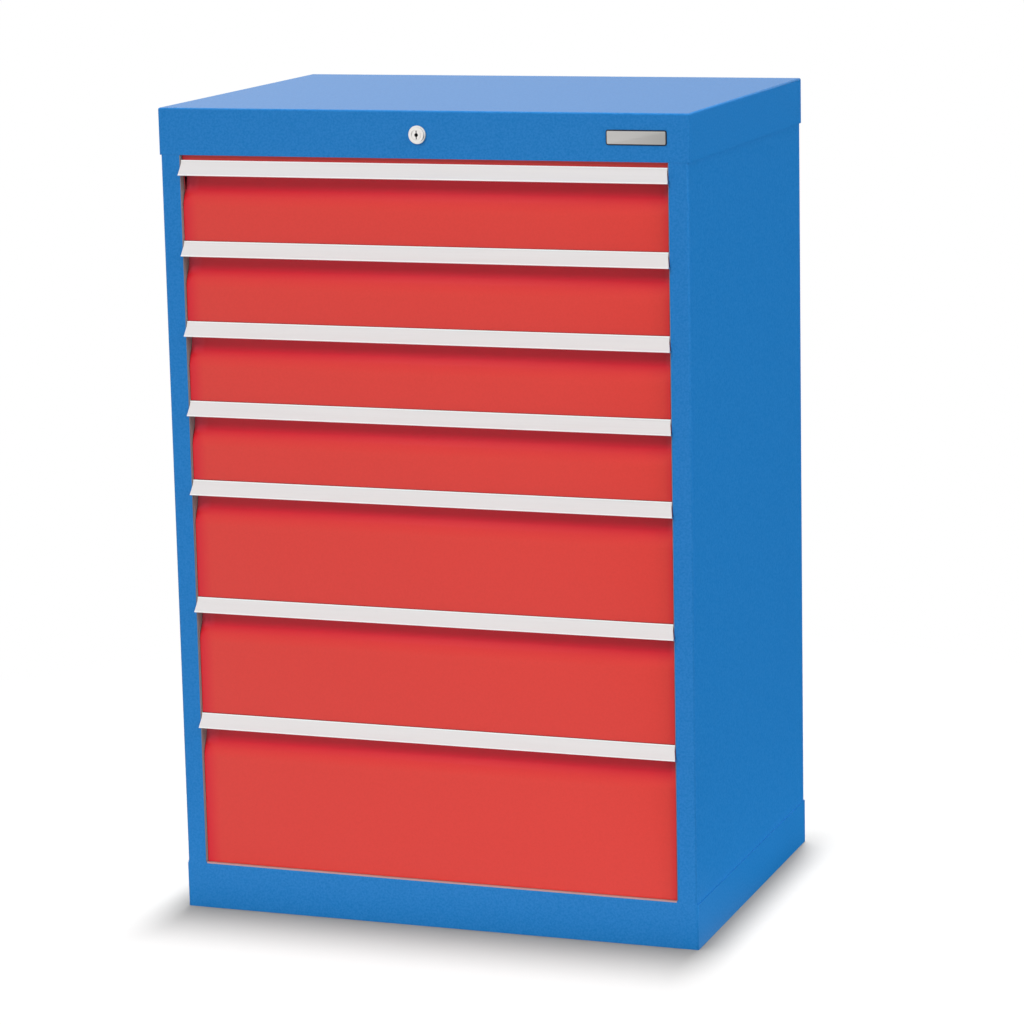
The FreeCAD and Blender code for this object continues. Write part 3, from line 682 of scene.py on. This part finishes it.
# The rim's dark colour is painted shade.
plate_rim_shade = powder_coat(
    "plate_rim_painted_shade", "#23272d", "#1e2227", 1.5 * MM, 0.01 * MM, 0.5, 0.2
)[0]
plate_low, plate_high = (Vector(corner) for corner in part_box("name_plate"))
plate_middle = (plate_low + plate_high) / 2
PLATE_RIM = 1.3 * MM
PLATE_STEP = 0.4 * MM
PLATE_CORNER = 2.6 * MM
PLATE_ROUND = 0.12 * MM
plate = start(
    bpy.ops.mesh.primitive_cube_add, "bare_plate", size=1.0,
    location=plate_middle + Vector((0, PLATE_STEP / 2, 0)),
    scale=(plate_high.x - plate_low.x, plate_high.y - plate_low.y - PLATE_STEP,
           plate_high.z - plate_low.z),
)
pick(plate, "EDGE", lambda at, edge: not near(edge.verts[0].co.y, edge.verts[1].co.y))
bpy.ops.mesh.bevel(offset=PLATE_CORNER, segments=6)
pick(plate, "FACE", lambda at, face: face.normal.y < -0.9)
bpy.ops.mesh.inset(thickness=PLATE_RIM)
bpy.ops.object.mode_set(mode="OBJECT")
plate.data.materials.append(plate_rim_shade)
plate.data.materials.append(plate_metal)
bpy.ops.object.mode_set(mode="EDIT")
pick(plate, "FACE", lambda at, face: face.normal.y < -0.9 and near(at.x, plate_middle.x)
     and near(at.z, plate_middle.z))
plate.active_material_index = 1
bpy.ops.object.material_slot_assign()
pull(0, -PLATE_STEP, 0)
pick(plate, "EDGE", lambda at, edge: near(at.y, plate_low.y) and len(edge.link_faces) == 2
     and edge.calc_face_angle(0) > SHARP)
bpy.ops.mesh.bevel(offset=PLATE_ROUND, segments=2)
bpy.ops.object.mode_set(mode="OBJECT")
bpy.ops.object.shade_smooth_by_angle(angle=math.radians(30))
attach(plate, "housing")
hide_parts("name_plate")


# Floor: one wide pale sheet. Near the plinth the eye sees it with the soft shadow, and beyond that
# as white. For mirrored rays it glows as painted light, bright in front of the cabinet, dim beside
# it and dark behind, to set the paint's reflections.
bpy.ops.object.select_all(action="DESELECT")
bpy.ops.mesh.primitive_plane_add(size=40)
floor = bpy.context.object
floor.name = "floor"
SHADED_TO = 0.8  # metres from the cabinet's middle
WHITE_FROM = 1.4
GLOW_BRIGHT_TO = (-0.5, 0.3)  # in Y to the front, in X to the right
GLOW_DIM_FROM = (0.1, 0.36)
pale = new_material("pale_floor")
bounced = add(pale, "BsdfDiffuse", {"Color": linear("#555555")}, {})
place = add(pale, "TexCoord", {}, {}).outputs["Object"]
spot = add(pale, "SeparateXYZ", {}, {"Vector": place})
shaded = add(pale, "BsdfDiffuse", {"Color": linear("#616161")}, {})
far_out = add(pale, "VectorMath", {"operation": "LENGTH"}, {"Vector": place})
beyond = add(
    pale, "MapRange", {"From Min": SHADED_TO, "From Max": WHITE_FROM, "To Min": 0.15},
    {"Value": far_out.outputs["Value"]},
)
white = add(pale, "Emission", {"Color": linear("#ffffff"), "Strength": 1.0}, {})
seen_floor = add(
    pale, "MixShader", {},
    {0: beyond.outputs["Result"], 1: shaded.outputs["BSDF"], 2: white.outputs["Emission"]},
)
# Painted light: the floor's glow for mirrored rays, bright in front and dim beside.
glow_in_front = add(
    pale, "MapRange",
    {"From Min": GLOW_BRIGHT_TO[0], "From Max": GLOW_DIM_FROM[0], "To Min": 1.0, "To Max": 0.0},
    {"Value": spot.outputs["Y"]},
)
glow_beside = add(
    pale, "MapRange",
    {"From Min": GLOW_BRIGHT_TO[1], "From Max": GLOW_DIM_FROM[1], "To Min": 1.0, "To Max": 0.2},
    {"Value": spot.outputs["X"]},
)
mirrored = add(
    pale, "Math", {"operation": "MULTIPLY"},
    {0: glow_in_front.outputs["Result"], 1: glow_beside.outputs["Result"]},
)
floor_glow_for_reflections = add(
    pale, "Emission", {"Color": linear("#ffffff")}, {"Strength": mirrored.outputs[0]}
)
path = add(pale, "LightPath", {}, {})
for_paint = add(
    pale, "MixShader", {},
    {0: path.outputs["Is Glossy Ray"], 1: bounced.outputs["BSDF"],
     2: floor_glow_for_reflections.outputs["Emission"]},
)
floor_surface = add(
    pale, "MixShader", {},
    {0: path.outputs["Is Camera Ray"], 1: for_paint.outputs["Shader"],
     2: seen_floor.outputs["Shader"]},
)
add(pale, "OutputMaterial", {}, {"Surface": floor_surface.outputs["Shader"]})
floor.data.materials.append(pale)


# Light: a white studio all round, mirrored darker towards the back right. Soft lamps from high in
# front, from the right and from overhead, and low cards in front of the plinth and beside it, light
# the cabinet. One lamp far above and behind makes the shadow on the floor, and lights only that.
world = bpy.data.worlds.new("studio")
bpy.context.scene.world = world
world.use_nodes = True
world.node_tree.nodes.clear()
heading = add(world, "TexCoord", {}, {}).outputs["Generated"]
behind_right = add(
    world, "VectorMath", {"operation": "DOT_PRODUCT", 1: (0.5, 1, 0)}, {0: heading}
)
mirrored_studio = add(
    world, "MapRange", {"From Min": 0.3, "From Max": 1.2, "To Min": 1.0, "To Max": 0.2},
    {"Value": behind_right.outputs["Value"]},
)
ray = add(world, "LightPath", {}, {})
mirror_or_eye = add(
    world, "Math", {"operation": "MAXIMUM"},
    {0: ray.outputs["Is Camera Ray"], 1: ray.outputs["Is Glossy Ray"]},
)
brightness = add(
    world, "Math", {"operation": "MAXIMUM"},
    {0: mirrored_studio.outputs["Result"], 1: ray.outputs["Is Camera Ray"]},
)
seen = add(
    world, "Background", {"Color": linear("#ffffff")}, {"Strength": brightness.outputs[0]}
)
lit = add(world, "Background", {"Color": linear("#ffffff"), "Strength": 0.5}, {})
sky_mix = add(
    world, "MixShader", {},
    {0: mirror_or_eye.outputs[0], 1: lit.outputs["Background"], 2: seen.outputs["Background"]},
)
add(world, "OutputWorld", {}, {"Surface": sky_mix.outputs["Shader"]})


def lamp(name, kind, place, aim, power, **settings):
    """A lamp that no polished surface mirrors."""
    data = bpy.data.lights.new(name, kind)
    data.energy = power
    for setting, value in settings.items():
        setattr(data, setting, value)
    shining = bpy.data.objects.new(name, data)
    bpy.context.scene.collection.objects.link(shining)
    shining.location = place
    shining.rotation_euler = (Vector(aim) - Vector(place)).to_track_quat("-Z", "Y").to_euler()
    shining.visible_glossy = False
    shining.visible_camera = False
    return shining


above_front = lamp(
    "above_front", "SUN", (-0.55, -1.3, 1.25), (0, 0, 0), 1.48, angle=math.radians(25)
)
from_right = lamp("from_right", "SUN", (1.6, -0.1, 0.8), (0, 0, 0), 1.74, angle=math.radians(30))
overhead = lamp("overhead", "SUN", (0, 0.2, 2.0), (0, 0, 0), 1.45, angle=math.radians(30))
far_above = lamp(
    "far_above", "AREA", (-0.06, 0.97, 20), (-0.06, 0.97, 0), 32500, shape="ELLIPSE", size=1.2,
    size_y=4.0,
)
CARD_AWAY = 0.13
PLINTH_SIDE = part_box("base_plinth")[1][0]
front_card = lamp(
    "front_card", "AREA", (0, PILLAR_FACE - CARD_AWAY, 0.01), (0, PILLAR_FACE, 0.02), 0.11,
    shape="RECTANGLE", size=0.8, size_y=0.02,
)
side_card = lamp(
    "side_card", "AREA", (PLINTH_SIDE + CARD_AWAY, 0, 0.01), (PLINTH_SIDE, 0, 0.02), 0.06,
    shape="RECTANGLE", size=0.6, size_y=0.02,
)
only_floor = bpy.data.collections.new("only_floor")
only_floor.objects.link(floor)
far_above.light_linking.receiver_collection = only_floor
all_but_floor = bpy.data.collections.new("all_but_floor")
all_but_floor.objects.link(floor)
all_but_floor.collection_objects[0].light_linking.link_state = "EXCLUDE"
for shining in (above_front, from_right, overhead, front_card, side_card):
    shining.light_linking.receiver_collection = all_but_floor


# Camera: far off with a long lens, to the right of the front, at the height of a standing person's
# chin. It looks a little down and leans by about a degree, fitted to the cabinet's outer corners.
eye = Vector((1.63421, -4.46873, 1.42763))
turn, tilt, roll = (math.radians(angle) for angle in (19.834, 11.244, -1.228))
bpy.ops.object.camera_add(location=eye)
camera = bpy.context.object
camera.rotation_mode = "QUATERNION"
look = Vector((-math.sin(turn) * math.cos(tilt), math.cos(turn) * math.cos(tilt), -math.sin(tilt)))
camera.rotation_quaternion = (
    look.to_track_quat("-Z", "Y") @ Matrix.Rotation(roll, 4, "Z").to_quaternion()
)
camera.data.sensor_width = 36
camera.data.lens = 132.7
camera.data.clip_end = 100
bpy.context.scene.camera = camera
bpy.context.scene.view_settings.view_transform = "Standard"
